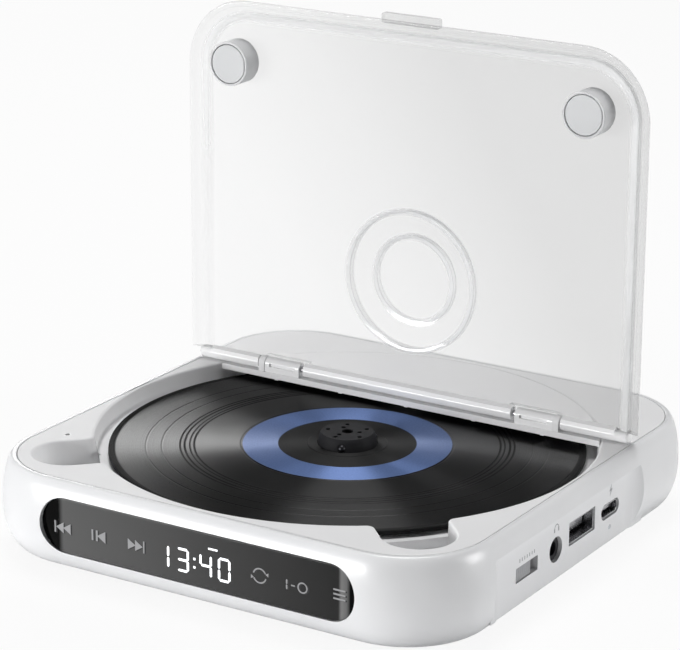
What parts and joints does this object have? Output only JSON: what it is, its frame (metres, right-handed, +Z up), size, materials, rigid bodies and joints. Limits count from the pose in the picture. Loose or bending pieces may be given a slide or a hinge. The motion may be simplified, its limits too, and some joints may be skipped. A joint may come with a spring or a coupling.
{
  "type": "disc player",
  "caption": "Flat square disc player with swelling sides, a clear lid open on a rear hinge rail, disc well with finger pockets, front display window, side ports and wall keyholes.",
  "frame": {"origin": "under the middle of the case, on the plane of the rubber feet", "axes": "+X to the right along the front face, +Y from the display towards the back, +Z up out of the disc well"},
  "size_m": [0.136, 0.138, 0.1252],
  "materials": {
    "case_white": "satin",
    "deck_white": "satin",
    "clear_plastic": "clear, polished",
    "smoked_window": "polished",
    "foot_rubber": "matte",
    "pad_rubber": "matte",
    "grommet_rubber": "matte",
    "bumper_grey": "satin",
    "disc_black": "gloss",
    "hub_dark": "satin",
    "steel": "bright",
    "motor_steel": "satin",
    "port_steel": "bright",
    "board_green": "satin",
    "battery_foil": "satin",
    "jack_black": "satin",
    "switch_grey": "satin",
    "light_pipe": "polished",
    "chassis_steel": "zinc plated",
    "sled_dark": "satin",
    "gear_ivory": "satin",
    "pinion_brass": "machined",
    "lens_glass": "polished"
  },
  "bodies": {
    "case": {"main_shell": "case_white", "top_deck": "deck_white", "rear_cover": "deck_white", "base_plate": "deck_white", "base_screws": "steel", "rubber_feet": "foot_rubber", "display_window": "smoked_window", "display_board": "board_green", "main_board": "board_green", "battery": "battery_foil", "headphone_jack": "jack_black", "usb_a_port": "port_steel", "usb_c_port": "port_steel", "switch_body": "jack_black", "charge_light": "light_pipe", "lid_sensor": "jack_black", "hinge_posts": "deck_white", "hinge_bushes": "deck_white", "spindle_motor": "motor_steel", "traverse_chassis": "chassis_steel", "grommets": "grommet_rubber", "chassis_screws": "steel", "guide_rods": "steel", "gear_axle": "steel", "sled_motor": "motor_steel"},
    "lid": {"lid_panel": "clear_plastic", "lid_rail": "deck_white", "hinge_pins": "steel", "lid_bumpers": "bumper_grey", "bumper_pads": "pad_rubber"},
    "turntable": {"turntable": "hub_dark", "hub_balls": "steel", "disc": "disc_black"},
    "sled": {"pickup_sled": "sled_dark", "sled_rack": "gear_ivory"},
    "lens": {"pickup_lens": "lens_glass"},
    "sled_gear": {"sled_gear": "gear_ivory"},
    "sled_pinion": {"sled_pinion": "pinion_brass"},
    "switch": {"switch_knob": "switch_grey"}
  },
  "joints": [
    {"name": "lid_hinge", "type": "hinge", "parent": "case", "child": "lid", "pos_m": [0, 0.0296, 0.0262], "axis": [1, 0, 0], "range_deg": [0, 90]},
    {"name": "turntable_spin", "type": "hinge", "parent": "case", "child": "turntable", "pos_m": [0, 0, 0.0182], "axis": [0, 0, 1], "continuous": true},
    {"name": "sled_slide", "type": "slide", "parent": "case", "child": "sled", "axis": [-0.7071, 0.7071, 0], "range_m": [0, 0.034]},
    {"name": "lens_focus", "type": "slide", "parent": "sled", "child": "lens", "axis": [0, 0, 1], "range_m": [-0.0004, 0.0004], "stiffness_N_per_m": 20, "springref_m": 0.00008},
    {"name": "sled_gear_spin", "type": "hinge", "parent": "case", "child": "sled_gear", "pos_m": [-0.00566, 0.03394, 0.0087], "axis": [0, 0, 1], "range_deg": [-651, 1]},
    {"name": "pinion_spin", "type": "hinge", "parent": "case", "child": "sled_pinion", "pos_m": [0.00374, 0.03052, 0.0087], "axis": [0, 0, 1], "range_deg": [-1, 1950]},
    {"name": "switch_slide", "type": "slide", "parent": "case", "child": "switch", "axis": [0, 1, 0], "range_m": [0, 0.003]}
  ],
  "couplings": [
    {"joint": "sled_gear_spin", "follows": "sled_slide", "rad_per_m": -333.33},
    {"joint": "pinion_spin", "follows": "sled_slide", "rad_per_m": 1000}
  ]
}
